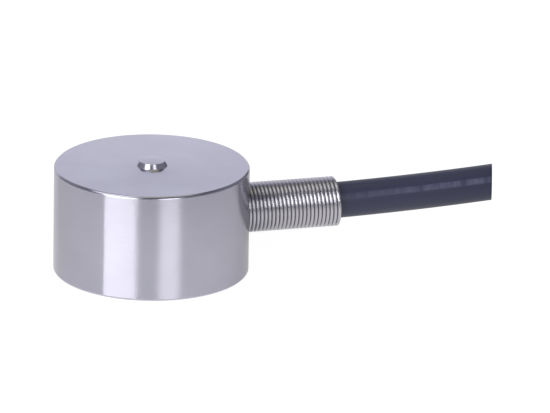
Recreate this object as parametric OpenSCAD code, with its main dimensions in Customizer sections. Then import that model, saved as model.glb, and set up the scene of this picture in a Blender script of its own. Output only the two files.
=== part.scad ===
// Miniature button load cell: a turned stainless body whose top is a diaphragm,
// strain gauges bonded under it, and a shielded cable through a close-wound spring.
// Origin at the middle of the base, +Z up through the load button, cable towards +X.

/* [Body] */
// Diameter of the turned body
body_d = 20; // [19.5:0.5:24]
// Height of the body without the load button
body_h = 11.2; // [11:0.1:13]
// Width of the chamfer on the body's top and bottom edges
edge_chamfer = 0.2; // [0.1:0.05:0.4]

/* [Load button] */
// Diameter of the button where it leaves the top face
button_base_d = 3.2; // [2.8:0.1:4]
// Diameter of the button's crowned top
button_top_d = 2.6; // [1.8:0.1:2.6]
// Height of the button above the top face
button_h = 0.6; // [0.5:0.05:1]
// Radius of the crown that takes the load
crown_r = 12; // [8:1:40]

/* [Diaphragm and cavity] */
// Thickness of the diaphragm under the top face
diaphragm_t = 1.4; // [1.2:0.1:1.6]
// Diameter of the boss under the middle of the diaphragm
boss_d = 3.6; // [3:0.2:3.8]
// Diameter of the space in which the gauges lie
gauge_space_d = 10; // [9.8:0.1:10.2]
// Diameter of the cavity below it
cavity_d = 11; // [10.8:0.1:11.4]
// Diameter of the recess for the bottom cover
cover_d = 12.2; // [12:0.2:13]
// Thickness of the bottom cover
cover_t = 0.6; // [0.5:0.1:0.8]

/* [Mounting] */
// Diameter of the circle that the three tapped holes lie on
bolt_circle_d = 16; // [15.5:0.25:16.5]
// Tapping drill of the holes, for a 3 mm thread
tap_drill_d = 2.5; // [2.4:0.05:2.6]
// Depth of the holes
tap_depth = 3; // [2.5:0.5:4]

/* [Strain relief spring] */
// Height of the cable's axis above the base
axis_h = 5.9; // [5.8:0.05:6]
// Outer diameter of the spring
spring_d = 5.15; // [4.9:0.05:5.3]
// Diameter of the spring's wire
wire_d = 0.4; // [0.3:0.02:0.4]
// Distance from one turn to the next
spring_pitch = 0.41; // [0.41:0.01:0.43]
// Turns of the spring, those inside the body included
spring_turns = 28; // [24:1:30]
// Depth to which the spring is pressed into the body
spring_seat = 2.2; // [1.8:0.1:2.4]

/* [Cable] */
// Diameter of the sheath
cable_d = 3.7; // [3.7:0.05:3.8]
// Wall of the sheath
sheath_t = 0.55; // [0.5:0.01:0.55]
// Thickness of the braid under the sheath
braid_t = 0.12; // [0.1:0.01:0.12]
// Diameter of one insulated core
core_d = 0.95; // [0.85:0.05:0.95]
// Diameter of a core's conductor
conductor_d = 0.5; // [0.4:0.05:0.6]
// Radius of the gentle bend outside the body
bend_r = 140; // [130:5:160]
// Angle through which the cable bends before its cut end
bend_angle = 10.4; // [8:0.1:10.6]
// Direction that the cut face looks in, seen from above
cut_direction = -15; // [-20:1:10]

/* [Gauges and board] */
// Thickness of a gauge's backing film
carrier_t = 0.06; // [0.04:0.01:0.1]
// Thickness of a gauge's foil
foil_t = 0.03; // [0.02:0.01:0.05]
// Strands of foil in one gauge
gauge_strands = 8; // [4:2:8]
// Thickness of the terminal board
board_t = 0.4; // [0.3:0.1:0.5]
// Thickness of the board's copper pads
pad_t = 0.05; // [0.03:0.01:0.08]

/* [Hidden] */

$fn = 72;
// Clearance by which a cutting shape passes the face that it cuts
past = 1;

// Body
body_r = body_d / 2;
cover_gap = 0.1;
ledge_z = cover_gap + cover_t;
diaphragm_z = body_h - diaphragm_t;
boss_drop = 0.8;
gauge_space_h = 1.3;
shoulder_z = diaphragm_z - gauge_space_h;
button_edge = 0.05;
drill_point_angle = 118;
first_hole_angle = 60;

// Spring
spring_mean_r = (spring_d - wire_d) / 2;
seat_x = body_r - spring_seat;
wire_sides = 8;
points_a_turn = 18;
coil_rings = spring_turns * points_a_turn;

// Cable
cable_r = cable_d / 2;
shield_r = cable_r - sheath_t;
shield_bore_r = shield_r - braid_t;
core_r = core_d / 2;
core_gap = 0.01;
core_offset = core_r + core_gap;
straight_run = 1.5;
bend_start_x = body_r + straight_run;
sheath_tail = 0.6;
shield_tail = 0.4;
sheath_start_x = cavity_d / 2 - sheath_tail;
shield_start_x = sheath_start_x - shield_tail;
cut_x = bend_start_x + bend_r * sin(bend_angle);
cut_y = bend_r * (1 - cos(bend_angle));
bend_fn = 720;

// Board and joints
board_z = shoulder_z - board_t;
board_clearance = 0.05;
board_d = cavity_d - 2 * board_clearance;
pad_z = board_z - pad_t;
stripped_length = 0.65;
elbow_r = 0.8;
core_pad_r = 0.42;
core_joint_h = 0.4;
joint_edge = 0.03;

// Potting
potting_r = 2.7;
potting_nose = 0.9;
potting_clearance = 0.3;
potting_start_x = shield_start_x - potting_nose;
potting_top_z = board_z - potting_clearance;

// Gauges: the odd ones read the strain beside the boss, the even ones beside the wall
boss_margin = 0.15;
wall_margin = 0.25;
gauge_start = boss_d / 2 + boss_margin;
gauge_length = gauge_space_d / 2 - wall_margin - gauge_start;
gauge_width = 1.9;
grid_length = 1.15;
strand_w = 0.09;
strand_pitch = 0.17;
end_loop_w = 0.16;
tab_length = 0.6;
tab_w = 0.5;
carrier_edge = 0.12;
lead_d = 0.12;
lead_spacing = 0.85;
lead_hole_d = 0.3;
lead_pad_d = 0.66;
lead_tail = 0.2;
lead_joint_h = 0.15;
lead_joint_tip_d = 0.2;
tab_joint_d = 0.4;
ring_joint_d = 0.56;
foil_z = diaphragm_z - carrier_t - foil_t;

// Resistors
resistor_size = [1.6, 0.8, 0.4];
resistor_cap = 0.3;
resistor_cap_proud = 0.03;
resistor_places = [[-3.3, 0.75], [-3.3, -0.75], [0.2, 2.9], [0.2, -2.9]];

// Each core: its colour, its side and layer in the cable, and where it turns up to the board
// [colour, across, up, riser]
cores = [["firebrick", 1, 1, 2.4], ["dimgray", -1, 1, 2.4],
         ["seagreen", 1, -1, 0.9], ["whitesmoke", -1, -1, 0.9]];

function gauge_angle(number) = 45 + 90 * (number - 1);
function reads_boss(number) = number % 2 == 1;
function grid_start(number) =
    reads_boss(number) ? gauge_start + carrier_edge
                       : gauge_start + gauge_length - carrier_edge - grid_length;
function tab_start(number) =
    reads_boss(number) ? gauge_start + gauge_length - carrier_edge - tab_length
                       : gauge_start + carrier_edge;
function lead_r(number) = tab_start(number) + tab_length / 2;

// Turned body

// Half of the body's section, from the rim round the outside and back through the cavity
module body_section() {
    polygon([
        [cover_d / 2, 0],
        [body_r - edge_chamfer, 0],
        [body_r, edge_chamfer],
        [body_r, body_h - edge_chamfer],
        [body_r - edge_chamfer, body_h],
        [0, body_h],
        [0, diaphragm_z - boss_drop],
        [boss_d / 2, diaphragm_z - boss_drop],
        [boss_d / 2, diaphragm_z],
        [gauge_space_d / 2, diaphragm_z],
        [gauge_space_d / 2, shoulder_z],
        [cavity_d / 2, shoulder_z],
        [cavity_d / 2, ledge_z],
        [cover_d / 2, ledge_z]
    ]);
}

// Half of the button's section before its crown is cut
module button_section() {
    root_z = body_h - diaphragm_t / 2;
    top_z = body_h + button_h;
    polygon([
        [0, root_z],
        [button_base_d / 2, root_z],
        [button_base_d / 2, body_h],
        [button_top_d / 2, top_z - button_edge],
        [button_top_d / 2 - button_edge, top_z],
        [button_top_d / 2 - button_edge, top_z + past],
        [0, top_z + past]
    ]);
}

module load_button() {
    intersection() {
        rotate_extrude() button_section();
        translate([0, 0, body_h + button_h - crown_r]) sphere(crown_r, $fn = 240);
    }
}

// Blind tapped hole with the point that the drill leaves
module tapped_hole() {
    point_h = tap_drill_d / 2 / tan(drill_point_angle / 2);
    translate([0, 0, -past]) cylinder(d = tap_drill_d, h = tap_depth + past);
    translate([0, 0, tap_depth]) cylinder(d1 = tap_drill_d, d2 = 0, h = point_h);
}

module sensing_body() {
    color("silver") difference() {
        union() {
            rotate_extrude($fn = 180) body_section();
            load_button();
        }
        along_cable(0) cylinder(r = cable_r, h = body_r);
        along_cable(seat_x) cylinder(d = spring_d, h = spring_seat + past);
        for (turn = [0:2])
            rotate(first_hole_angle + 120 * turn) translate([bolt_circle_d / 2, 0, 0]) tapped_hole();
    }
}

module bottom_cover() {
    color("lightgray") translate([0, 0, cover_gap]) cylinder(d = cover_d, h = cover_t, $fn = 120);
}

// Spring

// Point of the wire's surface at one ring along the coil and one side round the wire
function coil_point(ring, side) =
    let (turned = ring / points_a_turn,
         around = 360 * side / wire_sides,
         reach = spring_mean_r + wire_d / 2 * cos(around))
    [seat_x + wire_d / 2 + spring_pitch * turned + wire_d / 2 * sin(around),
     reach * cos(360 * turned),
     axis_h + reach * sin(360 * turned)];

module strain_relief_spring() {
    points = [for (ring = [0:coil_rings], side = [0:wire_sides - 1]) coil_point(ring, side)];
    walls = [for (ring = [0:coil_rings - 1], side = [0:wire_sides - 1])
        let (next_side = (side + 1) % wire_sides, here = ring * wire_sides, there = here + wire_sides)
        [here + side, there + side, there + next_side, here + next_side]];
    first_end = [for (side = [0:wire_sides - 1]) side];
    last_end = [for (side = [wire_sides - 1:-1:0]) coil_rings * wire_sides + side];
    color("darkgray") polyhedron(points, concat(walls, [first_end, last_end]), convexity = 10);
}

// Cable

// Turns a shape built along +Z to lie along the cable's axis from a given distance out
module along_cable(from_x) {
    translate([from_x, 0, axis_h]) rotate([0, 90, 0]) children();
}

// Round strand of the cable from a given distance out to the cut, beside the cable's axis
module strand(radius, from_x, across = 0, up = 0) {
    difference() {
        union() {
            translate([0, across, up]) along_cable(from_x) cylinder(r = radius, h = bend_start_x - from_x);
            translate([bend_start_x, bend_r, axis_h + up]) rotate(-90)
                rotate_extrude(angle = bend_angle + 2, $fn = bend_fn)
                    translate([bend_r - across, 0]) circle(radius, $fn = 48);
        }
        beyond_cut();
    }
}

// Everything past the plane in which the cable is cut off
module beyond_cut() {
    room = 3 * cable_d;
    translate([cut_x, cut_y, axis_h]) rotate(cut_direction)
        translate([0, -room / 2, -room / 2]) cube(room);
}

module cable_sheath() {
    color("#3b414f") difference() {
        strand(cable_r, sheath_start_x);
        strand(shield_r, sheath_start_x - past);
    }
}

module cable_shield() {
    color("lightgray") difference() {
        strand(shield_r, shield_start_x);
        strand(shield_bore_r, shield_start_x - past);
    }
}

// Strand that leaves the cable inside the body and turns up to the board
module rising_strand(core, radius, top_z) {
    across = core[1] * core_offset;
    up = core[2] * core_offset;
    riser_x = core[3];
    turn_z = axis_h + up + elbow_r;
    strand(radius, riser_x + elbow_r, across, up);
    translate([riser_x + elbow_r, across, turn_z]) rotate([90, 0, 0]) rotate(180)
        rotate_extrude(angle = 90) translate([elbow_r, 0]) circle(radius, $fn = 48);
    translate([riser_x, across, turn_z]) cylinder(r = radius, h = top_z - turn_z, $fn = 48);
}

module core_insulation(core) {
    color(core[0]) difference() {
        rising_strand(core, core_r, pad_z - stripped_length);
        rising_strand(core, conductor_d / 2, pad_z);
    }
}

module core_conductor(core) {
    color("peru") rising_strand(core, conductor_d / 2, pad_z);
}

// Epoxy collar cast round the cable's inner end against the cavity wall
module cable_potting() {
    color("#2f2b28") difference() {
        intersection() {
            along_cable(potting_start_x) cylinder(r = potting_r, h = cavity_d);
            cylinder(d = cavity_d, h = potting_top_z);
        }
        along_cable(sheath_start_x) cylinder(r = cable_r, h = cavity_d);
        along_cable(shield_start_x) cylinder(r = shield_r, h = cavity_d);
        for (core = cores)
            translate([0, core[1] * core_offset, core[2] * core_offset])
                along_cable(potting_start_x - past) cylinder(r = core_r, h = cavity_d, $fn = 48);
    }
}

// Board

// Places its children where the two leads of every gauge come down
module at_leads() {
    for (number = [1:4], side = [-1, 1])
        rotate(gauge_angle(number)) translate([lead_r(number), side * lead_spacing / 2, 0]) children();
}

// Places its children where the four cores come up
module at_core_ends() {
    for (core = cores) translate([core[3], core[1] * core_offset, 0]) children();
}

module terminal_board() {
    color("darkgreen") difference() {
        translate([0, 0, board_z]) cylinder(d = board_d, h = board_t, $fn = 120);
        at_leads() translate([0, 0, board_z - past])
            cylinder(d = lead_hole_d, h = board_t + 2 * past, $fn = 24);
    }
}

module board_pads() {
    color("goldenrod") translate([0, 0, pad_z]) {
        at_core_ends() cylinder(r = core_pad_r, h = pad_t, $fn = 36);
        at_leads() difference() {
            cylinder(d = lead_pad_d, h = pad_t, $fn = 36);
            translate([0, 0, -past]) cylinder(d = lead_hole_d, h = pad_t + 2 * past, $fn = 24);
        }
        for (place = resistor_places, side = [-1, 1])
            translate([place[0] + side * (resistor_size[0] - resistor_cap) / 2 - resistor_cap / 2,
                       place[1] - resistor_size[1] / 2, 0])
                cube([resistor_cap, resistor_size[1], pad_t]);
    }
}

// Chip resistor under the board, its two metal ends a little proud of its body
module resistor(place) {
    size = resistor_size;
    reach = (size[0] - resistor_cap) / 2;
    set_in = [0, 2 * resistor_cap_proud, 2 * resistor_cap_proud];
    color("dimgray") translate([place[0], place[1], pad_z - size[2] / 2]) {
        cube([2 * reach, size[1], size[2]] - set_in, center = true);
        for (side = [-1, 1])
            translate([side * reach, 0, 0]) cube([resistor_cap, size[1], size[2]], center = true);
    }
}

// Joints between the cores' conductors and the board's pads
module cable_solder() {
    tip_r = conductor_d / 2 + joint_edge;
    foot_r = core_pad_r - joint_edge;
    color("gainsboro") at_core_ends() difference() {
        translate([0, 0, pad_z - core_joint_h]) cylinder(r1 = tip_r, r2 = foot_r, h = core_joint_h, $fn = 36);
        translate([0, 0, pad_z - core_joint_h - past])
            cylinder(d = conductor_d, h = core_joint_h + 2 * past, $fn = 48);
    }
}

// Gauges

module gauge_carrier(number) {
    color("#c98f3c") rotate(gauge_angle(number))
        translate([gauge_start, -gauge_width / 2, diaphragm_z - carrier_t])
            cube([gauge_length, gauge_width, carrier_t]);
}

// Foil of one gauge: strands side by side, joined in turn at either end, and two solder tabs
module gauge_foil(number) {
    start = grid_start(number);
    stop = start + grid_length;
    first_y = -strand_pitch * (gauge_strands - 1) / 2;
    near_end = reads_boss(number) ? stop : start;
    far_end = reads_boss(number) ? start : stop;
    tab_x = tab_start(number);
    link_start = min(near_end, tab_x + tab_length);
    link_stop = max(near_end, tab_x);
    for (strand_number = [0:gauge_strands - 1])
        translate([start, first_y + strand_number * strand_pitch - strand_w / 2])
            square([grid_length, strand_w]);
    for (loop = [0:gauge_strands - 2])
        translate([(loop % 2 == 0 ? far_end : near_end) - end_loop_w / 2,
                   first_y + loop * strand_pitch - strand_w / 2])
            square([end_loop_w, strand_pitch + strand_w]);
    for (side = [-1, 1]) {
        translate([tab_x, side * lead_spacing / 2 - tab_w / 2]) square([tab_length, tab_w]);
        translate([link_start, side * (-first_y) - strand_w / 2])
            square([link_stop - link_start, strand_w]);
    }
}

module gauge_grid(number) {
    color("chocolate") rotate(gauge_angle(number))
        translate([0, 0, foil_z]) linear_extrude(foil_t) gauge_foil(number);
}

module gauge_leads() {
    color("silver") at_leads()
        translate([0, 0, pad_z - lead_tail]) cylinder(d = lead_d, h = foil_z - pad_z + lead_tail, $fn = 24);
}

// Joints of the leads, one on each gauge tab and one under each ring pad
module gauge_solder() {
    color("gainsboro") at_leads() difference() {
        union() {
            translate([0, 0, foil_z - lead_joint_h])
                cylinder(d1 = lead_joint_tip_d, d2 = tab_joint_d, h = lead_joint_h, $fn = 36);
            translate([0, 0, pad_z - lead_joint_h])
                cylinder(d1 = lead_joint_tip_d, d2 = ring_joint_d, h = lead_joint_h, $fn = 36);
        }
        translate([0, 0, pad_z - past]) cylinder(d = lead_d, h = foil_z - pad_z + 2 * past, $fn = 24);
    }
}

sensing_body();
bottom_cover();
strain_relief_spring();
cable_sheath();
cable_shield();
core_insulation(cores[0]);  // core_red
core_insulation(cores[1]);  // core_black
core_insulation(cores[2]);  // core_green
core_insulation(cores[3]);  // core_white
core_conductor(cores[0]);  // conductor_red
core_conductor(cores[1]);  // conductor_black
core_conductor(cores[2]);  // conductor_green
core_conductor(cores[3]);  // conductor_white
cable_potting();
terminal_board();
board_pads();
gauge_carrier(1);  // gauge_carrier_1
gauge_carrier(2);  // gauge_carrier_2
gauge_carrier(3);  // gauge_carrier_3
gauge_carrier(4);  // gauge_carrier_4
gauge_grid(1);  // gauge_grid_1
gauge_grid(2);  // gauge_grid_2
gauge_grid(3);  // gauge_grid_3
gauge_grid(4);  // gauge_grid_4
gauge_leads();
gauge_solder();
cable_solder();
resistor(resistor_places[0]);  // balance_resistor
resistor(resistor_places[1]);  // zero_temp_resistor
resistor(resistor_places[2]);  // span_temp_resistor
resistor(resistor_places[3]);  // span_set_resistor
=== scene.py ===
"""Miniature button load cell: a turned steel body, a close-wound spring and a short cable with a cut end.

Everything is in metres, +Z up, with the cable leaving towards +X.
"""
import math

import bmesh
import bpy
from mathutils import Matrix, Vector


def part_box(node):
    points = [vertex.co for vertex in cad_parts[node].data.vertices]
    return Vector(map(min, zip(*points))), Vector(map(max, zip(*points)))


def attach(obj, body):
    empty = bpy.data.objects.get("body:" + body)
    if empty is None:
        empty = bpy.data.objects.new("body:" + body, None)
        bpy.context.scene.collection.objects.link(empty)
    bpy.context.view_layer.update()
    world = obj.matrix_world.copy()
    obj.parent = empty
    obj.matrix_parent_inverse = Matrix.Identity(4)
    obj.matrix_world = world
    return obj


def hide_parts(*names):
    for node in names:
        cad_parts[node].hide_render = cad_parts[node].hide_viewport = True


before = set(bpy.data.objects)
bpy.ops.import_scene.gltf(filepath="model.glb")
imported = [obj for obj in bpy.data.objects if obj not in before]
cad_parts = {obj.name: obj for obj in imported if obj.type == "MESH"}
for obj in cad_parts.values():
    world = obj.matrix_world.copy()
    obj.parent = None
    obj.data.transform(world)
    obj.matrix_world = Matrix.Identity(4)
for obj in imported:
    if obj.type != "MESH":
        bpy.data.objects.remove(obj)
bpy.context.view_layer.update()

MM = 0.001
FORWARD = Vector((1, 0, 0))
UP = Vector((0, 0, 1))

# Meshes: how near points are merged, from what angle an edge is sharp, and how far a tool cuts past a face
WELD = 1e-7
SMOOTH_ANGLE = math.radians(32)
PAST = MM

# Cover
cover_low, cover_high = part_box("bottom_cover")
COVER_R = cover_high.y
COVER_ROUND = 0.05 * MM
COVER_STEPS = 240

# Bead that welds the cover in: its size, where its middle lies, and the ripples that its pulses left
BEAD_R = 0.1 * MM
BEAD_INWARD = 0.03 * MM
BEAD_UP = 0.02 * MM
BEAD_SIDES = 12
BEAD_STEPS = 720
BEAD_PULSES = 90
BEAD_RIPPLE = 0.14

# Body
body_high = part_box("sensing_body")[1]
BODY_R = body_high.y
BUTTON_H = 0.6 * MM
BODY_H = body_high.z - BUTTON_H
BODY_STEPS = 360
EDGE_CHAMFER = 0.2 * MM
RIM_ROUND = 0.2 * MM
EDGE_ROUND = 0.03 * MM
BUTTON_BASE_R = 1.6 * MM
BUTTON_TOP_R = 1.312 * MM
BUTTON_FOOT_ROUND = 0.14 * MM
CROWN_R = 12 * MM
CROWN_POINTS = 8
DIAPHRAGM_Z = BODY_H - 1.4 * MM
BOSS_R = 1.8 * MM
BOSS_DROP = 0.8 * MM
GAUGE_SPACE_R = 5 * MM
SHOULDER_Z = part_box("terminal_board")[1].z
CAVITY_R = 5.5 * MM

# Tapped holes. Their mouths open by a margin wider than the thread.
HOLE_CIRCLE_R = 8 * MM
HOLE_ANGLES = (60, 180, 300)
HOLE_SIDES = 64
TAP_R = 1.25 * MM
TAP_DEPTH = 3 * MM
DRILL_POINT_ANGLE = math.radians(118)
DRILL_POINT_H = TAP_R / math.tan(DRILL_POINT_ANGLE / 2)
MOUTH_CHAMFER = 0.28 * MM
MOUTH_MARGIN = 0.04 * MM

# Their threads: half the groove's width where it opens and at its root, and how far inside the bore its tool
# starts
THREAD_R = 1.5 * MM
THREAD_PITCH = 0.5 * MM
THREAD_TURNS = 6.2
THREAD_STEPS = 40
THREAD_OPEN_HALF = 0.23 * MM
THREAD_ROOT_HALF = 0.03 * MM
THREAD_OVERLAP = 0.04 * MM

# Spring, its seat in the body, and the entry behind it for the cable
spring_low, spring_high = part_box("strain_relief_spring")
AXIS_H = (spring_low.z + spring_high.z) / 2
SEAT_X = spring_low.x
SEAT_SIDES = 144
ENTRY_START_X = 2 * MM
ENTRY_OVERLAP = 0.1 * MM
ENTRY_SIDES = 96
SPRING_R = 2.575 * MM
WIRE_R = 0.2 * MM
SPRING_PITCH = 0.41 * MM
SPRING_TURNS = 28
WIRE_SIDES = 16
COIL_STEPS = 72

# Cable
SHEATH_START_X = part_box("cable_sheath")[0].x
SHIELD_START_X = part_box("cable_shield")[0].x
PAD_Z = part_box("board_pads")[0].z
CABLE_R = 1.85 * MM
SHEATH_T = 0.55 * MM
BRAID_T = 0.12 * MM
CORE_R = 0.475 * MM
CORE_OFFSET = 0.485 * MM
CONDUCTOR_R = 0.25 * MM
ELBOW_R = 0.8 * MM
STRIPPED_LENGTH = 0.65 * MM

# Its gentle bend and its cut end
BEND_START = BODY_R + 1.5 * MM
BEND_R = 140 * MM
BEND_ANGLE = math.radians(10.4)
CUT_DIRECTION = math.radians(-15)
CUT_POINT = Vector((BEND_START + BEND_R * math.sin(BEND_ANGLE), BEND_R * (1 - math.cos(BEND_ANGLE)), AXIS_H))
CUT_NORMAL = Vector((math.cos(CUT_DIRECTION), math.sin(CUT_DIRECTION), 0))
CUT_ROUND = 0.07 * MM
STRAIGHT_END = BEND_START + BEND_R * BEND_ANGLE + 1.6 * MM

# How far apart a strand's rings of points lie: where it is straight, bent, twisted or turns up in an elbow
STRAIGHT_STEP = 1.4 * MM
BEND_STEP = 0.5 * MM
TWIST_STEP = 0.6 * MM
ELBOW_STEP = 0.12 * MM

# Sides of the round pieces of the cable
SHEATH_SIDES = 72
SHEATH_BORE_SIDES = 48
CORE_SIDES = 32
CORE_BORE_SIDES = 24

# Each core: its side and layer in the cable, and where it turns up to the board
CORES = {
    "red": (1, 1, 2.4 * MM),
    "black": (-1, 1, 2.4 * MM),
    "green": (1, -1, 0.9 * MM),
    "white": (-1, -1, 0.9 * MM),
}

# The colour of each core's insulation
INSULATION = {
    "red": (0.5, 0.03, 0.025),
    "black": (0.02, 0.02, 0.022),
    "green": (0.02, 0.26, 0.08),
    "white": (0.75, 0.75, 0.72),
}

# Strands of a conductor: six round one, thinned a little so that they stay apart, and their twist
OUTER_STRANDS = 6
STRAND_SIDES = 8
STRAND_THINNING = 0.98
STRAND_TWIST = 2 * math.pi / (7 * MM)

# Ribbons of the braid: how many run each way, their form, how far they weave in and out, and their turn
RIBBONS = 12
RIBBON_T = 0.036 * MM
RIBBON_HALF_ANGLE = math.radians(13.4)
RIBBON_WEAVE = 0.024 * MM
RIBBON_TURN = 2 * math.pi / (8 * MM)
RIBBON_STEP = 0.3 * MM

# A noise lies mostly between these values
NOISE_SPAN = (0.3, 0.7)

# Turning marks on the body: their width, how steep their flanks are on the side, and the flanks' share of it
MARK_W = 0.03 * MM
GROOVE_SLOPE = 0.5
GROOVE_SHARE = 0.38

# How far inside the body's radius the faced finish ends and the ground one is complete
SIDE_EDGE = (0.02 * MM, 0.005 * MM)

# Turning rings of the cover: their width
RING_W = 0.07 * MM

# How far inside the cover's edge the tint of the weld's heat begins and is complete
HEAT_EDGE = (0.75 * MM, 0.15 * MM)

# Draw marks on the spring's wire: how steep their flanks lean across the wire
DRAW_SLOPES = (0, 0.3, -0.3)

# Paler streak of the sheath, a painted sheen along a worn line: where it runs round the cable, the shares
# of a turn between which its edge fades, and the millimetres along the cable between which it grows strong
STREAK_ANGLE = math.radians(151)
STREAK_EDGE = (0.018, 0.034)
STREAK_GROWTH = (18, 33)

# How far from the cut the sheath's rim begins to darken with painted shade and is darkest
CUT_RIM_SHADE = (-0.26 * MM, -0.1 * MM)

# Where a strand's surface is its cut face: how nearly it faces along the cable
CUT_FACING = (0.93, 0.97)

# How far from a resistor's end its metal cap begins and is complete
CAP_EDGE = (0.31 * MM, 0.29 * MM)

# View: where the photograph was taken from, and where the middle of the base stands in it
VIEW_AZIMUTH = math.radians(-15)
VIEW_ELEVATION = math.radians(19.28)
VIEW_ROLL = math.radians(0.86)
VIEW_DISTANCE = 1.2
VIEW_WIDTH = 56.3 * MM
AIM_RIGHT = 12.715 * MM
AIM_UP = 6.365 * MM

# Lamp panels: how far off they stand, how far their tops lean outwards, and the heights in degrees between
# which they reach
PANEL_DISTANCE = 1.0
PANEL_LEAN = math.radians(7.6)
PANEL_HEIGHTS = (11, 45)

# The room as steel mirrors it. A height is the sine of the angle above the table, across is to the right and
# away is to the back. Each pair gives where an edge begins and where it is complete.
# The backdrop: its middle, in degrees from straight behind, its slanted sides and its top
BACKDROP_TURN = 9
BACKDROP_SLOPE = 1.5
BACKDROP_SIDE = (-0.05, 0.05)
BACKDROP_TOP = (0.5, 0.74)
# The walls beside and in front of it, which are darker to the right
WALL_FOOT = (0.15, 0.3)
WALL_TOP = (0.6, 0.75)
WALL_ACROSS = (-0.4, 0.4)
WALL_RIGHT = 0.72
# The ceiling, and a lit patch in it: where it hangs (right, away and up), and how wide it and its edge are in
# degrees
CEILING_HEIGHT = (0.86, 0.92)
CEILING_FRONT = (-0.22, -0.1)
CEILING_LIGHT = Vector((-0.4, 0, 0.9)).normalized()
CEILING_SPREAD = 18
CEILING_EDGE = 2

# The white of the table as steel mirrors it: where its middle lies to the left, and how far off it ends
TABLE_SHIFT = 8 * MM
TABLE_EDGE = (32 * MM, 58 * MM)


class Value:
    """A socket whose value changes over a surface. Arithmetic on it adds the Math nodes that work it out."""

    def __init__(self, nodes, socket):
        self.nodes = nodes
        self.socket = socket

    def maths(self, operation, first, second=0.0):
        return self.nodes.add("ShaderNodeMath", {"operation": operation}, {0: first, 1: second})

    def __add__(self, other):
        return self.maths("ADD", self, other)

    def __sub__(self, other):
        return self.maths("SUBTRACT", self, other)

    def __rsub__(self, other):
        return self.maths("SUBTRACT", other, self)

    def __mul__(self, other):
        return self.maths("MULTIPLY", self, other)

    def __abs__(self):
        return self.maths("ABSOLUTE", self)

    __radd__ = __add__
    __rmul__ = __mul__


def set_stops(ramp, stops):
    """Give a colour ramp its stops, each a position and a colour."""
    while len(ramp.elements) > len(stops):
        ramp.elements.remove(ramp.elements[-1])
    while len(ramp.elements) < len(stops):
        ramp.elements.new(1.0)
    for element, (position, shade) in zip(ramp.elements, stops):
        element.position = position
        element.color = shade


class Nodes:
    """The node tree of a material or of the surroundings while it is made."""

    def __init__(self, tree):
        self.tree = tree
        tree.nodes.clear()

    def add(self, kind, settings=None, sockets=None, output=0):
        node = self.tree.nodes.new(kind)
        for name, setting in (settings or {}).items():
            if name == "stops":
                set_stops(node.color_ramp, setting)
            else:
                setattr(node, name, setting)
        for name, value in (sockets or {}).items():
            if isinstance(value, Value):
                self.tree.links.new(value.socket, node.inputs[name])
            else:
                node.inputs[name].default_value = value
        return Value(self, node.outputs[output]) if node.outputs else node

    def place(self):
        return self.add("ShaderNodeTexCoord", output="Object")

    def part_of(self, vector, axis):
        """One component of a vector: 0 for X, 1 for Y, 2 for Z."""
        return self.add("ShaderNodeSeparateXYZ", None, {0: vector}, axis)

    def scaled(self, vector, scale):
        return self.add("ShaderNodeMapping", None, {"Vector": vector, "Scale": scale})

    def shifted(self, vector, shift):
        return self.add("ShaderNodeMapping", None, {"Vector": vector, "Location": shift})

    def along(self, vector, direction):
        """How far a vector reaches along a direction."""
        return self.add(
            "ShaderNodeVectorMath", {"operation": "DOT_PRODUCT"}, {0: vector, 1: direction}, "Value")

    def from_axis(self, vector):
        """Distance from the vertical axis."""
        flat = self.scaled(vector, (1, 1, 0))
        return self.add("ShaderNodeVectorMath", {"operation": "LENGTH"}, {0: flat}, "Value")

    def noise(self, vector, scale, detail):
        return self.add(
            "ShaderNodeTexNoise", None, {"Vector": vector, "Scale": scale, "Detail": detail}, "Fac")

    def line_noise(self, along, scale, detail):
        """Noise that changes along one number only."""
        return self.add(
            "ShaderNodeTexNoise", {"noise_dimensions": "1D"},
            {"W": along, "Scale": scale, "Detail": detail}, "Fac")

    def wave(self, vector, direction, scale, distortion):
        """Parallel waves across one direction."""
        return self.add(
            "ShaderNodeTexWave", {"bands_direction": direction},
            {"Vector": vector, "Scale": scale, "Distortion": distortion}, "Fac")

    def ramp_up(self, value, start, stop, low=0.0, high=1.0):
        """Smooth step of a value from low at start to high at stop."""
        return self.add(
            "ShaderNodeMapRange", {"interpolation_type": "SMOOTHSTEP"},
            {"Value": value, "From Min": start, "From Max": stop, "To Min": low, "To Max": high})

    def maximum(self, first, second):
        return self.add("ShaderNodeMath", {"operation": "MAXIMUM"}, {0: first, 1: second})

    def blend(self, share, first, second):
        """Colour mixed from two colours."""
        return self.add("ShaderNodeMix", {"data_type": "RGBA"}, {0: share, 6: first, 7: second}, 2)

    def facing(self):
        """The surface's own direction."""
        return self.add("ShaderNodeNewGeometry", output="Normal")

    def leaned(self, lean):
        """The surface's own direction, leaning over by a vector."""
        over = self.add("ShaderNodeVectorMath", {"operation": "ADD"}, {0: self.facing(), 1: lean}, "Vector")
        return self.add("ShaderNodeVectorMath", {"operation": "NORMALIZE"}, {0: over}, "Vector")

    def mixed(self, share, first, second):
        """Shader mixed from two shaders."""
        return self.add("ShaderNodeMixShader", None, {0: share, 1: first, 2: second})

    def bump(self, height, distance, over=None):
        sockets = {"Height": height, "Distance": distance}
        if over is not None:
            sockets["Normal"] = over
        return self.add("ShaderNodeBump", None, sockets)

    def principled(self, **sockets):
        """Principled shader. A socket's name is written with _ for its spaces."""
        named = {name.replace("_", " "): value for name, value in sockets.items()}
        return self.add("ShaderNodeBsdfPrincipled", None, named)

    def finish(self, shader, output="ShaderNodeOutputMaterial"):
        self.add(output, None, {"Surface": shader})

    def surface(self, **sockets):
        self.finish(self.principled(**sockets))


def colour(red, green, blue):
    return (red, green, blue, 1.0)


def new_finish(name):
    """A new material and its empty node tree."""
    made = bpy.data.materials.new(name)
    made.use_nodes = True
    return made, Nodes(made.node_tree)


# Finishes. A noise's scale is how often it changes in a metre.


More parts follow.
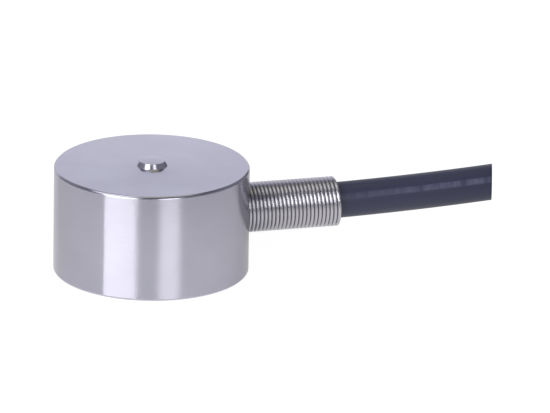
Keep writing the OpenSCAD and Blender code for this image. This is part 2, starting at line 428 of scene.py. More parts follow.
def body_finish():
    """Stainless steel: side ground round and round, top faced flat and finer.

    The flanks of the side's marks are facets that lean up and down, which draw what the side mirrors out
    upwards and downwards and leave its edges to the left and right sharp.
    """
    made, nodes = new_finish("turned_stainless")
    place = nodes.place()
    radius = nodes.from_axis(place)
    cloud = nodes.noise(place, 220, 3)
    streaks = nodes.noise(nodes.scaled(place, (1, 1, 40)), 300, 3)
    wear = cloud * 0.5 + streaks * 0.5
    # Height counts more than radius here, so that the rings don't vanish on the chamfered edges.
    rings = nodes.line_noise(radius + nodes.part_of(place, 2) * 1.3, 1 / MARK_W, 1)
    shade = nodes.blend(
        nodes.ramp_up(wear, *NOISE_SPAN), colour(0.425, 0.415, 0.478), colour(0.468, 0.458, 0.525))
    land, upper_flank, lower_flank = [
        nodes.principled(
            Base_Color=shade, Metallic=1.0, Roughness=0.18 + (wear - 0.5) * 0.02,
            Specular_Tint=colour(0.8, 0.8, 0.8), Anisotropic=1.0, Anisotropic_Rotation=0.25,
            Normal=nodes.bump(rings, 0.002 * MM, over=nodes.leaned((0, 0, slope))))
        for slope in (0, GROOVE_SLOPE, -GROOVE_SLOPE)]
    flanks = nodes.mixed(0.5, upper_flank, lower_flank)
    ground = nodes.mixed(GROOVE_SHARE, land, flanks)
    blotches = nodes.ramp_up(nodes.noise(place, 140, 2), *NOISE_SPAN)
    faced = nodes.principled(
        Base_Color=nodes.blend(blotches, colour(0.43, 0.42, 0.482), colour(0.475, 0.465, 0.533)),
        Metallic=1.0, Roughness=0.19 + (wear - 0.5) * 0.04, Normal=nodes.bump(rings, 0.0003 * MM))
    side = nodes.ramp_up(radius, BODY_R - SIDE_EDGE[0], BODY_R - SIDE_EDGE[1])
    nodes.finish(nodes.mixed(side, faced, ground))
    return made


def cover_finish():
    """Stainless disc with turning rings, tinted by the heat of its weld near the edge."""
    made, nodes = new_finish("welded_disc_steel")
    place = nodes.place()
    radius = nodes.from_axis(place)
    rings = nodes.line_noise(radius, 1 / RING_W, 2)
    cloud = nodes.noise(place, 350, 3)
    wavy_radius = radius + (cloud - 0.5) * 0.4 * MM
    heat = nodes.ramp_up(wavy_radius, COVER_R - HEAT_EDGE[0], COVER_R - HEAT_EDGE[1])
    steel = nodes.blend(cloud, colour(0.44, 0.435, 0.45), colour(0.5, 0.495, 0.51))
    nodes.surface(
        Base_Color=nodes.blend(heat * 0.7, steel, colour(0.42, 0.33, 0.22)), Metallic=1.0,
        Roughness=0.24 + cloud * 0.1, Normal=nodes.bump(rings, 0.004 * MM),
        Anisotropic=0.6, Anisotropic_Rotation=0.25)
    return made


def weld_finish():
    """Pulsed weld bead, dull with straw and blue tints."""
    made, nodes = new_finish("weld_bead")
    place = nodes.place()
    tint = nodes.noise(place, 900, 2)
    straw, grey, blue = colour(0.42, 0.36, 0.28), colour(0.4, 0.39, 0.4), colour(0.28, 0.3, 0.4)
    shade = nodes.add(
        "ShaderNodeValToRGB", {"stops": [(0.3, straw), (0.5, grey), (0.7, blue)]}, {"Fac": tint}, "Color")
    nodes.surface(
        Base_Color=shade, Metallic=1.0, Roughness=0.34 + tint * 0.12,
        Normal=nodes.bump(nodes.noise(place, 6000, 2), 0.006 * MM))
    return made


def spring_finish():
    """Drawn stainless wire. The flanks of its draw marks are facets that lean across the wire."""
    made, nodes = new_finish("drawn_wire")
    place = nodes.place()
    cloud = nodes.noise(place, 500, 2)
    marks = nodes.noise(nodes.scaled(place, (14, 1, 1)), 900, 2)
    shade = nodes.blend(cloud, colour(0.42, 0.41, 0.44), colour(0.475, 0.465, 0.495))
    wire = None
    for number, slope in enumerate(DRAW_SLOPES):
        facet = nodes.principled(
            Base_Color=shade, Metallic=1.0, Roughness=0.23 + cloud * 0.04,
            Normal=nodes.bump(marks, 0.0004 * MM, over=nodes.leaned((slope, 0, 0))))
        wire = facet if wire is None else nodes.mixed(1 / (number + 1), wire, facet)
    nodes.finish(wire)
    return made


def sheath_finish():
    """Dark polyurethane, a soft sheen, a paler streak of painted sheen and wear, a rim of painted shade at
    the cut.
    """
    made, nodes = new_finish("polyurethane_sheath")
    place = nodes.place()
    lie = nodes.add("ShaderNodeUVMap", {"uv_map": "lie"})
    along, around = nodes.part_of(lie, 0), nodes.part_of(lie, 1)
    band = 1 - nodes.ramp_up(abs(around - 0.5), *STREAK_EDGE)
    breaks = nodes.ramp_up(nodes.line_noise(along, 0.8, 3), 0.28, 0.56, 0.2, 1.0)
    wear = nodes.ramp_up(nodes.noise(place, 1500, 3), *NOISE_SPAN, 0.5, 1.0)
    growth = nodes.ramp_up(along, *STREAK_GROWTH, 0.15, 1.0)
    streak = band * breaks * wear * growth
    cloud = nodes.noise(nodes.scaled(place, (0.25, 1, 1)), 700, 3)
    base = nodes.blend(cloud, colour(0.0175, 0.0195, 0.048), colour(0.0225, 0.0245, 0.059))
    # The paler streak is a painted sheen laid along a worn line.
    wear_and_sheen = nodes.blend(streak * 0.8, base, colour(0.088, 0.088, 0.155))
    # The sheath's rim near the cut is darkened by painted shade.
    cut_rim_shade = nodes.ramp_up(nodes.along(nodes.shifted(place, -CUT_POINT), CUT_NORMAL), *CUT_RIM_SHADE)
    grain = nodes.noise(place, 9000, 2)
    lay = nodes.line_noise(around, 60, 2)
    nodes.surface(
        Base_Color=nodes.blend(cut_rim_shade * 0.75, wear_and_sheen, colour(0.007, 0.007, 0.014)),
        Roughness=0.42 + cloud * 0.1, Normal=nodes.bump(grain * 0.5 + lay * 0.5, 0.006 * MM),
        Specular_IOR_Level=0.5)
    return made


def braid_finish():
    """Tinned copper ribbons of the braid, cloudy and finely rough."""
    made, nodes = new_finish("tinned_braid")
    place = nodes.place()
    cloud = nodes.noise(place, 2500, 3)
    nodes.surface(
        Base_Color=nodes.blend(cloud, colour(0.55, 0.52, 0.48), colour(0.68, 0.66, 0.63)), Metallic=1.0,
        Roughness=0.28 + cloud * 0.12, Normal=nodes.bump(nodes.noise(place, 12000, 1), 0.004 * MM))
    return made


def insulation_finish(name):
    """Extruded core insulation: one colour with a faint cloud in it and a glossy skin."""
    made, nodes = new_finish(f"insulation_{name}")
    shade = INSULATION[name]
    place = nodes.place()
    cloud = nodes.noise(place, 1200, 2)
    darker = [0.86 * part for part in shade]
    nodes.surface(
        Base_Color=nodes.blend(cloud, colour(*darker), colour(*shade)), Roughness=0.3 + cloud * 0.1,
        Normal=nodes.bump(nodes.noise(place, 7000, 2), 0.004 * MM))
    return made


def conductor_finish():
    """Tinned strands, bare copper where they are cut through."""
    made, nodes = new_finish("tinned_strands")
    place = nodes.place()
    cut_face = nodes.ramp_up(nodes.along(nodes.facing(), CUT_NORMAL), *CUT_FACING)
    cloud = nodes.noise(place, 3000, 2)
    tin = nodes.blend(cloud, colour(0.62, 0.6, 0.57), colour(0.72, 0.7, 0.67))
    nodes.surface(
        Base_Color=nodes.blend(cut_face, tin, colour(0.72, 0.33, 0.18)), Metallic=1.0,
        Roughness=0.25 + cloud * 0.12, Normal=nodes.bump(nodes.noise(place, 14000, 1), 0.003 * MM))
    return made


def epoxy_finish():
    """Cast epoxy: nearly black, with small bubbles and a glossy skin."""
    made, nodes = new_finish("cast_epoxy")
    place = nodes.place()
    from_bubble = nodes.add("ShaderNodeTexVoronoi", None, {"Vector": place, "Scale": 2600}, "Distance")
    bubbles = 1 - nodes.ramp_up(from_bubble, 0.05, 0.16)
    cloud = nodes.noise(place, 900, 2)
    nodes.surface(
        Base_Color=nodes.blend(cloud, colour(0.02, 0.018, 0.016), colour(0.04, 0.036, 0.03)),
        Roughness=0.2 + cloud * 0.12, Normal=nodes.bump(0 - bubbles, 0.02 * MM))
    return made


def board_finish():
    """Glass laminate under green solder resist, the weave showing faintly through."""
    made, nodes = new_finish("board_laminate")
    place = nodes.place()
    cloth = nodes.wave(place, "X", 700, 0.4) * nodes.wave(place, "Y", 700, 0.4)
    nodes.surface(
        Base_Color=nodes.blend(cloth, colour(0.018, 0.13, 0.05), colour(0.03, 0.19, 0.08)),
        Roughness=0.3 + cloth * 0.1, Normal=nodes.bump(cloth, 0.004 * MM),
        Coat_Weight=0.4, Coat_Roughness=0.15)
    return made


def pad_finish():
    """Gold flash over copper."""
    made, nodes = new_finish("gold_flash")
    cloud = nodes.noise(nodes.place(), 2600, 3)
    nodes.surface(
        Base_Color=nodes.blend(cloud, colour(0.78, 0.55, 0.22), colour(0.88, 0.68, 0.34)), Metallic=1.0,
        Roughness=0.22 + cloud * 0.15, Normal=nodes.bump(cloud, 0.003 * MM))
    return made


def film_finish():
    """Amber polyimide film on its adhesive."""
    made, nodes = new_finish("polyimide_film")
    cloud = nodes.noise(nodes.place(), 1500, 3)
    nodes.surface(
        Base_Color=nodes.blend(cloud, colour(0.5, 0.22, 0.03), colour(0.66, 0.34, 0.06)),
        Roughness=0.25 + cloud * 0.1, Normal=nodes.bump(cloud, 0.004 * MM),
        Coat_Weight=0.6, Coat_Roughness=0.1)
    return made


def foil_finish():
    """Etched copper-nickel foil with its rolling direction."""
    made, nodes = new_finish("etched_foil")
    grain = nodes.noise(nodes.scaled(nodes.place(), (1, 8, 1)), 4000, 3)
    nodes.surface(
        Base_Color=nodes.blend(grain, colour(0.5, 0.4, 0.31), colour(0.62, 0.52, 0.42)), Metallic=1.0,
        Roughness=0.3 + grain * 0.12, Normal=nodes.bump(grain, 0.002 * MM))
    return made


def solder_finish():
    """Solder that has set with a slightly frosted skin."""
    made, nodes = new_finish("solder")
    skin = nodes.noise(nodes.place(), 5000, 3)
    nodes.surface(
        Base_Color=nodes.blend(skin, colour(0.6, 0.6, 0.6), colour(0.74, 0.74, 0.73)), Metallic=1.0,
        Roughness=0.2 + skin * 0.2, Normal=nodes.bump(skin, 0.01 * MM))
    return made


def resistor_finish(node):
    """Dark chip with a tinned cap at either end along X."""
    made, nodes = new_finish(f"chip_{node}")
    low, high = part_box(node)
    middle = (low.x + high.x) / 2
    end = high.x - middle
    place = nodes.place()
    cap = nodes.ramp_up(abs(nodes.part_of(place, 0) - middle), end - CAP_EDGE[0], end - CAP_EDGE[1])
    cloud = nodes.noise(place, 3000, 2)
    ceramic = nodes.blend(cloud, colour(0.035, 0.035, 0.04), colour(0.06, 0.06, 0.066))
    nodes.surface(
        Base_Color=nodes.blend(cap, ceramic, colour(0.68, 0.68, 0.67)), Metallic=cap,
        Roughness=0.45 - cap * 0.15, Normal=nodes.bump(cloud, 0.006 * MM))
    return made


# Modelling helpers


def mesh_of(bm, name):
    """Mesh of a bmesh, which is freed."""
    mesh = bpy.data.meshes.new(name)
    bm.to_mesh(mesh)
    bm.free()
    return mesh


def plain_object(bm, name):
    made = bpy.data.objects.new(name, mesh_of(bm, name))
    bpy.context.scene.collection.objects.link(made)
    return made


def bm_of(blank):
    """Bmesh of a blank's mesh. The blank is removed."""
    bm = bmesh.new()
    bm.from_mesh(blank.data)
    bpy.data.objects.remove(blank)
    return bm


def add_piece(name, bm, finish, stands_for=()):
    """Make an object with its finish, standing for the given nodes."""
    piece = plain_object(bm, name)
    piece.data.shade_smooth()
    piece.data.set_sharp_from_angle(angle=SMOOTH_ANGLE)
    piece.data.materials.clear()
    piece.data.materials.append(finish)
    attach(piece, "root")
    for node in stands_for:
        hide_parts(node)
    return piece


def everything(bm):
    return bm.verts[:] + bm.edges[:] + bm.faces[:]


def face_outwards(bm):
    bmesh.ops.recalc_face_normals(bm, faces=bm.faces[:])


def round_corners(corners, steps=4):
    """Outline through (distance out, height, radius) corners, each radius drawn as a short arc."""
    outline = []
    for number, (out, height, radius) in enumerate(corners):
        here = Vector((out, height))
        if not radius:
            outline.append(here)
            continue
        back = (Vector(corners[number - 1][:2]) - here).normalized()
        on = (Vector(corners[number + 1][:2]) - here).normalized()
        half = back.angle(on) / 2
        reach = radius / math.tan(half)
        centre = here + (back + on).normalized() * radius / math.sin(half)
        first = here + back * reach - centre
        last = here + on * reach - centre
        outline += [centre + first.slerp(last, step / steps) * radius for step in range(steps + 1)]
    return outline


def lathe(outline, steps, closed=False):
    """Turn an outline of (distance out, height) points round the Z axis."""
    bm = bmesh.new()
    ring = [bm.verts.new((out, 0, height)) for out, height in outline]
    edges = [bm.edges.new(pair) for pair in zip(ring, ring[1:])]
    if closed:
        edges.append(bm.edges.new((ring[-1], ring[0])))
    bmesh.ops.spin(
        bm, geom=ring + edges, cent=(0, 0, 0), axis=UP, angle=2 * math.pi, steps=steps, use_merge=True)
    bmesh.ops.remove_doubles(bm, verts=bm.verts[:], dist=WELD)
    face_outwards(bm)
    return bm


def rod(near, far, radius, sides, far_radius=None):
    """Closed round rod between two points."""
    bm = bmesh.new()
    along = far - near
    turn = along.to_track_quat("Z", "Y").to_matrix().to_4x4()
    bmesh.ops.create_cone(
        bm, cap_ends=True, segments=sides, radius1=radius,
        radius2=radius if far_radius is None else far_radius, depth=along.length,
        matrix=Matrix.Translation((near + far) / 2) @ turn)
    return bm


def apply_modifier(blank, kind, settings):
    """Give a blank the mesh that a modifier makes of its own."""
    modifier = blank.modifiers.new("step", kind)
    for name, setting in settings.items():
        setattr(modifier, name, setting)
    finished = bpy.data.meshes.new_from_object(blank.evaluated_get(bpy.context.evaluated_depsgraph_get()))
    blank.modifiers.clear()
    blank.data = finished


def cut(blank, tool_bm):
    """Take a tool's volume out of a blank."""
    tool = plain_object(tool_bm, "tool")
    apply_modifier(blank, "BOOLEAN", {"operation": "DIFFERENCE", "solver": "EXACT", "object": tool})
    bpy.data.objects.remove(tool)


# Body


def body_outline():
    """Half of the body's section, from the crown round the outside and back through the cavity."""
    top = BODY_H + BUTTON_H
    crown_centre = top - CROWN_R
    crown = []
    for step in range(CROWN_POINTS):
        out = BUTTON_TOP_R * step / CROWN_POINTS
        crown.append(Vector((out, crown_centre + math.sqrt(CROWN_R ** 2 - out ** 2))))
    crown_edge_z = crown_centre + math.sqrt(CROWN_R ** 2 - BUTTON_TOP_R ** 2)
    corners = [
        (0, top, 0),
        (BUTTON_TOP_R, crown_edge_z, EDGE_ROUND),
        (BUTTON_BASE_R, BODY_H, BUTTON_FOOT_ROUND),
        (BODY_R - EDGE_CHAMFER, BODY_H, RIM_ROUND),
        (BODY_R, BODY_H - EDGE_CHAMFER, RIM_ROUND),
        (BODY_R, EDGE_CHAMFER, RIM_ROUND),
        (BODY_R - EDGE_CHAMFER, 0, RIM_ROUND),
        (COVER_R, 0, EDGE_ROUND),
        (COVER_R, cover_high.z, 0),
        (CAVITY_R, cover_high.z, EDGE_ROUND),
        (CAVITY_R, SHOULDER_Z, 0),
        (GAUGE_SPACE_R, SHOULDER_Z, EDGE_ROUND),
        (GAUGE_SPACE_R, DIAPHRAGM_Z, EDGE_ROUND),
        (BOSS_R, DIAPHRAGM_Z, EDGE_ROUND),
        (BOSS_R, DIAPHRAGM_Z - BOSS_DROP, EDGE_ROUND),
        (0, DIAPHRAGM_Z - BOSS_DROP, 0),
    ]
    return crown + round_corners(corners)[1:]


def thread_groove(centre):
    """Helical V that cuts one tapped hole's thread."""
    inner_r = TAP_R - THREAD_OVERLAP
    start = -THREAD_PITCH
    section = [
        (inner_r, start - THREAD_OPEN_HALF), (THREAD_R, start - THREAD_ROOT_HALF),
        (THREAD_R, start + THREAD_ROOT_HALF), (inner_r, start + THREAD_OPEN_HALF)]
    bm = bmesh.new()
    bm.faces.new([bm.verts.new((centre.x + out, centre.y, height)) for out, height in section])
    bmesh.ops.spin(
        bm, geom=everything(bm), cent=centre, axis=UP, angle=2 * math.pi * THREAD_TURNS,
        dvec=(0, 0, THREAD_PITCH / THREAD_STEPS), steps=round(THREAD_STEPS * THREAD_TURNS))
    face_outwards(bm)
    return bm


def tapped_hole_tools(angle):
    """The drill with its point, the thread and the chamfer of one hole's mouth."""
    centre = Matrix.Rotation(math.radians(angle), 3, "Z") @ Vector((HOLE_CIRCLE_R, 0, 0))
    half_section = [(0, -PAST), (TAP_R, -PAST), (TAP_R, TAP_DEPTH), (0, TAP_DEPTH + DRILL_POINT_H)]
    drill = lathe(half_section, HOLE_SIDES)
    bmesh.ops.translate(drill, verts=drill.verts[:], vec=centre)
    mouth = rod(
        centre - UP * MOUTH_CHAMFER, centre + UP * (MOUTH_CHAMFER + MOUTH_MARGIN),
        THREAD_R + MOUTH_MARGIN + MOUTH_CHAMFER, HOLE_SIDES, THREAD_R - MOUTH_CHAMFER)
    return [drill, thread_groove(centre), mouth]


def make_body():
    blank = plain_object(lathe(body_outline(), BODY_STEPS), "body_blank")
    axis = Vector((0, 0, AXIS_H))
    for start_x, end_x, radius, sides in (
            (ENTRY_START_X, SEAT_X + ENTRY_OVERLAP, CABLE_R, ENTRY_SIDES),
            (SEAT_X, BODY_R + PAST, SPRING_R, SEAT_SIDES)):
        cut(blank, rod(axis + FORWARD * start_x, axis + FORWARD * end_x, radius, sides))
    for angle in HOLE_ANGLES:
        for tool in tapped_hole_tools(angle):
            cut(blank, tool)
    add_piece("turned_body", bm_of(blank), body_finish(), ["sensing_body"])


def make_cover():
    """Disc in the base's recess, with the bead that closes the joint."""
    outline = round_corners([
        (0, cover_low.z, 0),
        (COVER_R, cover_low.z, COVER_ROUND),
        (COVER_R, cover_high.z, COVER_ROUND),
        (0, cover_high.z, 0),
    ])
    add_piece("cover_disc", lathe(outline, COVER_STEPS), cover_finish(), ["bottom_cover"])
    centre_r, centre_z = COVER_R - BEAD_INWARD, cover_low.z + BEAD_UP
    turns = [2 * math.pi * side / BEAD_SIDES for side in range(BEAD_SIDES)]
    bead = [(centre_r + BEAD_R * math.cos(turn), centre_z + BEAD_R * math.sin(turn)) for turn in turns]
    bm = lathe(bead, BEAD_STEPS, closed=True)
    for vert in bm.verts:
        angle = math.atan2(vert.co.y, vert.co.x)
        ripple = 1 - BEAD_RIPPLE + BEAD_RIPPLE * abs(math.sin(angle * BEAD_PULSES))
        middle = Vector((math.cos(angle) * centre_r, math.sin(angle) * centre_r, centre_z))
        vert.co = middle + (vert.co - middle) * ripple
    add_piece("cover_weld", bm, weld_finish())


# Spring


def make_spring():
    """Round wire wound turn against turn, its ends cut square."""
    bm = bmesh.new()
    bmesh.ops.create_circle(
        bm, cap_ends=False, segments=WIRE_SIDES, radius=WIRE_R,
        matrix=Matrix.Translation((SEAT_X + WIRE_R, SPRING_R - WIRE_R, 0)))
    coil = plain_object(bm, "coil")
    apply_modifier(coil, "SCREW", {
        "axis": "X", "angle": 2 * math.pi, "screw_offset": SPRING_PITCH, "iterations": SPRING_TURNS,
        "steps": COIL_STEPS, "render_steps": COIL_STEPS, "use_smooth_shade": True})
    bm = bm_of(coil)
    bmesh.ops.translate(bm, verts=bm.verts[:], vec=(0, 0, AXIS_H))
    bmesh.ops.holes_fill(bm, edges=bm.edges[:])
    face_outwards(bm)
    add_piece("wound_spring", bm, spring_finish(), ["strain_relief_spring"])


# Cable. Its pieces are made straight along +X, then bent and cut off.


def add_ring(bm, radius, sides, start_x, across=0.0, up=0.0, filled=False):
    """Ring of points round a strand's line, facing along the cable."""
    bmesh.ops.create_circle(
        bm, cap_ends=filled, segments=sides, radius=radius,
        matrix=Matrix.Translation((start_x, across, AXIS_H + up)) @ Matrix.Rotation(math.pi / 2, 4, "Y"))


def draw_out(bm, geometry, length, step, turn=0.0, across=0.0, up=0.0):
    """Pull geometry out along +X in rings, turning it about the strand's own line, and return its new end."""
    rings = max(1, round(length / step))
    pulled = bmesh.ops.spin(
        bm, geom=geometry, cent=(0, across, AXIS_H + up), axis=FORWARD, angle=turn * length,
        dvec=(length / rings, 0, 0), steps=rings)
    return pulled["geom_last"]


def bend_along_route(bm):
    """Bend what lies straight along +X into the cable's gentle curve."""
    for vert in bm.verts:
        turn = (vert.co.x - BEND_START) / BEND_R
        if turn > 0:
            reach = BEND_R - vert.co.y
            vert.co.x = BEND_START + reach * math.sin(turn)
            vert.co.y = BEND_R - reach * math.cos(turn)


def from_line(point):
    """Distance of a point of the bent cable from its centreline."""
    reach = Vector((point.x - BEND_START, point.y - BEND_R))
    return math.hypot(BEND_R - reach.length, point.z - AXIS_H)


def turn_up(bm, elbow_x, up):
    """Turn the inner end of a core up towards the board."""
    for vert in bm.verts:
        inward = elbow_x - vert.co.x
        if inward > 0:
            turn = min(inward / ELBOW_R, math.pi / 2)
            reach = ELBOW_R - (vert.co.z - AXIS_H - up)
            vert.co.x = elbow_x - reach * math.sin(turn)
            rise = max(0.0, inward - ELBOW_R * math.pi / 2)
            vert.co.z = AXIS_H + up + ELBOW_R - reach * math.cos(turn) + rise


def cut_off(bm):
    """Cut the bent cable at its end and return the open edges."""
    result = bmesh.ops.bisect_plane(
        bm, geom=everything(bm), dist=WELD, plane_co=CUT_POINT, plane_no=CUT_NORMAL, clear_outer=True)
    return [item for item in result["geom_cut"] if isinstance(item, bmesh.types.BMEdge)]


def lay_uv(bm):
    """Note where each point lies: millimetres along the cable and the share of a turn from the streak."""
    layer = bm.loops.layers.uv.new("lie")
    for face in bm.faces:
        middle = face.calc_center_median()
        mean = math.atan2(middle.z - AXIS_H, middle.y)
        for loop in face.loops:
            angle = math.atan2(loop.vert.co.z - AXIS_H, loop.vert.co.y)
            apart = (angle - mean + math.pi) % (2 * math.pi) - math.pi
            share = (mean + apart - STREAK_ANGLE) / (2 * math.pi)
            loop[layer].uv = (loop.vert.co.x / MM, share + 0.5)


def make_jacket():
    bm = bmesh.new()
    add_ring(bm, CABLE_R, SHEATH_SIDES, SHEATH_START_X)
    add_ring(bm, CABLE_R - SHEATH_T, SHEATH_BORE_SIDES, SHEATH_START_X)
    first_edges = bm.edges[:]
    near_end = draw_out(bm, everything(bm), BEND_START - SHEATH_START_X, STRAIGHT_STEP)
    draw_out(bm, near_end, STRAIGHT_END - BEND_START, BEND_STEP)
    bmesh.ops.bridge_loops(bm, edges=first_edges)
    face_outwards(bm)
    lay_uv(bm)
    bend_along_route(bm)
    rim = cut_off(bm)
    outer_rim = [edge for edge in rim if from_line(edge.verts[0].co) > CABLE_R - SHEATH_T / 2]
    bmesh.ops.bridge_loops(bm, edges=rim)
    bmesh.ops.bevel(
        bm, geom=outer_rim, offset=CUT_ROUND, affect="EDGES", segments=3, profile=0.5, material=-1,
        clamp_overlap=True)
    face_outwards(bm)
    return add_piece("cable_jacket", bm, sheath_finish(), ["cable_sheath"])


def ribbon(direction, number):
    """One flat ribbon of the braid, wound one way and weaving over and under the others."""
    middle_r = CABLE_R - SHEATH_T - BRAID_T / 2
    start = 2 * math.pi * number / RIBBONS
    section = [(start + RIBBON_HALF_ANGLE * side, middle_r - RIBBON_T / 2) for side in (-1, 0, 1)]
    section += [(start + RIBBON_HALF_ANGLE * side, middle_r + RIBBON_T / 2) for side in (1, 0, -1)]
    bm = bmesh.new()
    bm.faces.new([
        bm.verts.new((SHIELD_START_X, out * math.cos(angle), AXIS_H + out * math.sin(angle)))
        for angle, out in section])
    draw_out(bm, everything(bm), STRAIGHT_END - SHIELD_START_X, RIBBON_STEP, direction * RIBBON_TURN)
    for vert in bm.verts:
        phase = RIBBONS * RIBBON_TURN * (vert.co.x - SHIELD_START_X) + math.pi * number
        shift = direction * RIBBON_WEAVE * math.sin(phase)
        outward = Vector((0, vert.co.y, vert.co.z - AXIS_H)).normalized()
        vert.co += outward * shift
    return mesh_of(bm, "ribbon")


def make_braid():
    """Woven shield of ribbons wound both ways."""
    bm = bmesh.new()
    for direction in (1, -1):
        for number in range(RIBBONS):
            mesh = ribbon(direction, number)
            bm.from_mesh(mesh)
            bpy.data.meshes.remove(mesh)
    bend_along_route(bm)
    bmesh.ops.edgeloop_fill(bm, edges=cut_off(bm))
    face_outwards(bm)
    return add_piece("woven_shield", bm, braid_finish(), ["cable_shield"])


def core_run(core, top_z):
    """Where a core lies across and up, where its elbow ends along X, and where its straight form starts."""
    side, layer, riser_x = core
    across, up = side * CORE_OFFSET, layer * CORE_OFFSET
    elbow_x = riser_x + ELBOW_R
    rise = top_z - (AXIS_H + up + ELBOW_R)
    return across, up, elbow_x, elbow_x - ELBOW_R * math.pi / 2 - rise


def pull_core(bm, start_x, elbow_x, across, up, twist=0.0):
    """Pull a core's section out along its whole straightened length."""
    end = draw_out(bm, everything(bm), elbow_x - start_x, ELBOW_STEP, twist, across, up)
    end = draw_out(bm, end, BEND_START - elbow_x, TWIST_STEP if twist else STRAIGHT_STEP, twist, across, up)
    draw_out(bm, end, STRAIGHT_END - BEND_START, BEND_STEP, twist, across, up)


def make_insulation(name, core):
    across, up, elbow_x, start_x = core_run(core, PAD_Z - STRIPPED_LENGTH)
    bm = bmesh.new()
    add_ring(bm, CORE_R, CORE_SIDES, start_x, across, up)
    add_ring(bm, CONDUCTOR_R, CORE_BORE_SIDES, start_x, across, up)
    first_edges = bm.edges[:]
    pull_core(bm, start_x, elbow_x, across, up)
    bmesh.ops.bridge_loops(bm, edges=first_edges)
    turn_up(bm, elbow_x, up)
    bend_along_route(bm)
    bmesh.ops.bridge_loops(bm, edges=cut_off(bm))
    face_outwards(bm)
    return add_piece(
        f"insulation_{name}", bm, insulation_finish(name), [f"core_{name}"])


def make_conductor(name, core, finish):
    """Fine strands twisted together."""
    across, up, elbow_x, start_x = core_run(core, PAD_Z)
    strand_r = CONDUCTOR_R / 3
    bm = bmesh.new()
    for strand in range(OUTER_STRANDS + 1):
        angle = 2 * math.pi * strand / OUTER_STRANDS
        out = 0 if strand == OUTER_STRANDS else 2 * strand_r
        add_ring(
            bm, strand_r * STRAND_THINNING, STRAND_SIDES, start_x,
            across + out * math.cos(angle), up + out * math.sin(angle), filled=True)
    pull_core(bm, start_x, elbow_x, across, up, STRAND_TWIST)
    turn_up(bm, elbow_x, up)
    bend_along_route(bm)
    bmesh.ops.edgeloop_fill(bm, edges=cut_off(bm))
    face_outwards(bm)
    return add_piece(f"strands_{name}", bm, finish, [f"conductor_{name}"])


def make_cable():
    jacket = make_jacket()
    inside = [make_braid()]
    strands = conductor_finish()
    for name, core in CORES.items():
        inside.append(make_insulation(name, core))
        inside.append(make_conductor(name, core, strands))


# Parts that stay as packed


def finish_nodes():
    """Give each node that is shown as packed its own finish."""
    solder = solder_finish()
    film = film_finish()
    foil = foil_finish()
    finishes = {
        "cable_potting": epoxy_finish(), "terminal_board": board_finish(), "board_pads": pad_finish(),
        "gauge_leads": conductor_finish(), "gauge_solder": solder, "cable_solder": solder}
    for number in range(1, 5):
        finishes[f"gauge_carrier_{number}"] = film
        finishes[f"gauge_grid_{number}"] = foil
    for node in ("balance_resistor", "zero_temp_resistor", "span_temp_resistor", "span_set_resistor"):
        finishes[node] = resistor_finish(node)
    for node, finish in finishes.items():
        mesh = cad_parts[node].data
        mesh.materials.clear()
        mesh.materials.append(finish)


# Studio


def make_camera():
    data = bpy.data.cameras.new("camera")
    data.lens = data.sensor_width * VIEW_DISTANCE / VIEW_WIDTH
    data.clip_start = 0.05
    data.clip_end = 10
    camera = bpy.data.objects.new("camera", data)
    bpy.context.scene.collection.objects.link(camera)
    turn = (
        Matrix.Rotation(VIEW_AZIMUTH, 4, "Z")
        @ Matrix.Rotation(math.pi / 2 - VIEW_ELEVATION, 4, "X")
        @ Matrix.Rotation(VIEW_ROLL, 4, "Z"))
    camera.matrix_world = turn @ Matrix.Translation((AIM_RIGHT, AIM_UP, VIEW_DISTANCE))
    bpy.context.scene.camera = camera


def softbox(name, side, edges, radiance):
    """Upright lamp panel to one side (-1 is left), between two directions in degrees from the camera's."""
    near, far = [math.radians(edge) for edge in edges]
    low, high = [PANEL_DISTANCE * math.tan(math.radians(height)) for height in PANEL_HEIGHTS]
    data = bpy.data.lights.new(name, "AREA")
    data.shape = "RECTANGLE"
    data.size = 2 * PANEL_DISTANCE * math.tan((far - near) / 2)
    data.size_y = high - low
    # A lamp's power is spread over four times its area.
    data.energy = radiance * 4 * data.size * data.size_y
    lamp = bpy.data.objects.new(name, data)
    bpy.context.scene.collection.objects.link(lamp)
    turn = (
        Matrix.Rotation(VIEW_AZIMUTH + side * (near + far) / 2, 4, "Z")
        @ Matrix.Rotation(math.pi / 2, 4, "X"))
    lean = Matrix.Rotation(-side * PANEL_LEAN, 4, "Z")
    lamp.matrix_world = turn @ Matrix.Translation((0, AXIS_H + (low + high) / 2, PANEL_DISTANCE)) @ lean


def make_lamps():
    softbox("softbox_left", -1, (17.2, 58.5), 4.65)
    softbox("softbox_right", 1, (11, 35.8), 2.9)


def kind_of_look(nodes):
    """Two masks: what is seen straight from the camera or through glass, and what is seen in a mirror."""
    camera = nodes.add("ShaderNodeLightPath", output="Is Camera Ray")
    through = nodes.add("ShaderNodeLightPath", output="Is Transmission Ray")
    mirror = nodes.add("ShaderNodeLightPath", output="Is Glossy Ray")
    return nodes.maximum(camera, through), mirror


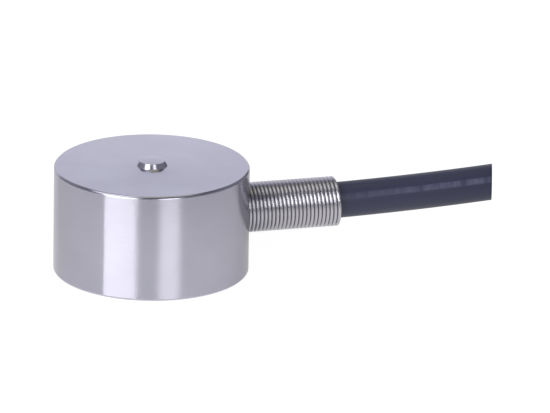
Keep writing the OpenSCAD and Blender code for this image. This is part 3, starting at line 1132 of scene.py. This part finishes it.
def make_surroundings():
    """White to the eye, plain grey as light, and a room with a white backdrop as polished metal shows it."""
    world = bpy.data.worlds.new("studio")
    bpy.context.scene.world = world
    world.use_nodes = True
    nodes = Nodes(world.node_tree)
    direct, mirror = kind_of_look(nodes)
    look = nodes.add(
        "ShaderNodeVectorRotate", {"rotation_type": "Z_AXIS"},
        {"Vector": nodes.add("ShaderNodeTexCoord", output="Generated"),
         "Angle": -VIEW_AZIMUTH - math.radians(BACKDROP_TURN)}, "Vector")
    across, away, height = [nodes.part_of(look, axis) for axis in range(3)]
    wall = (
        nodes.ramp_up(height, *WALL_FOOT) * nodes.ramp_up(height, *WALL_TOP, 1.0, 0.0)
        * nodes.ramp_up(across, *WALL_ACROSS, 1.0, WALL_RIGHT))
    sides = nodes.blend(wall, colour(0.17, 0.175, 0.21), colour(0.35, 0.355, 0.41))
    overhead = nodes.ramp_up(height, *CEILING_HEIGHT) * nodes.ramp_up(away, *CEILING_FRONT)
    room = nodes.blend(overhead, sides, colour(1.05, 1.01, 0.78))
    wide, narrow = [math.cos(math.radians(CEILING_SPREAD + edge)) for edge in (CEILING_EDGE, -CEILING_EDGE)]
    lit = nodes.ramp_up(nodes.along(look, CEILING_LIGHT), wide, narrow)
    lit_room = nodes.blend(lit, room, colour(1.7, 1.7, 1.8))
    behind = nodes.ramp_up(away - abs(across) * BACKDROP_SLOPE, *BACKDROP_SIDE)
    backdrop = behind * nodes.ramp_up(height, *BACKDROP_TOP, 1.0, 0.0)
    mirrored = nodes.blend(backdrop, lit_room, colour(0.9, 0.91, 1.02))
    unseen = nodes.blend(mirror, colour(0.45, 0.45, 0.46), mirrored)
    shade = nodes.blend(direct, unseen, colour(1, 1, 1))
    nodes.finish(nodes.add("ShaderNodeBackground", None, {"Color": shade}), "ShaderNodeOutputWorld")


def make_floor():
    """White table, clear from below, that glows to the eye. As metal mirrors it, its white has an edge."""
    made, nodes = new_finish("white_table")
    direct, mirror = kind_of_look(nodes)
    camera = nodes.add("ShaderNodeLightPath", output="Is Camera Ray")
    below = nodes.add("ShaderNodeNewGeometry", output="Backfacing")
    distance = nodes.from_axis(nodes.shifted(nodes.place(), (TABLE_SHIFT, 0, 0)))
    mirrored = nodes.blend(
        nodes.ramp_up(distance, *TABLE_EDGE), colour(0.5, 0.5, 0.5), colour(0.1, 0.1, 0.11))
    seen = nodes.blend(direct, colour(0, 0, 0), colour(0.92, 0.92, 0.92))
    top = nodes.principled(
        Base_Color=nodes.blend(camera, colour(0.72, 0.72, 0.72), colour(0.18, 0.18, 0.18)), Roughness=0.7,
        Specular_IOR_Level=0.0, Emission_Color=nodes.blend(mirror, seen, mirrored), Emission_Strength=1.0)
    nodes.finish(nodes.mixed(below, top, nodes.add("ShaderNodeBsdfTransparent")))
    bm = bmesh.new()
    bmesh.ops.create_grid(bm, x_segments=1, y_segments=1, size=2)
    floor = plain_object(bm, "table")
    floor.data.materials.append(made)


make_camera()
make_cable()
make_spring()
make_body()
make_cover()
finish_nodes()
make_floor()
make_lamps()
make_surroundings()
bpy.context.scene.view_settings.view_transform = "Standard"
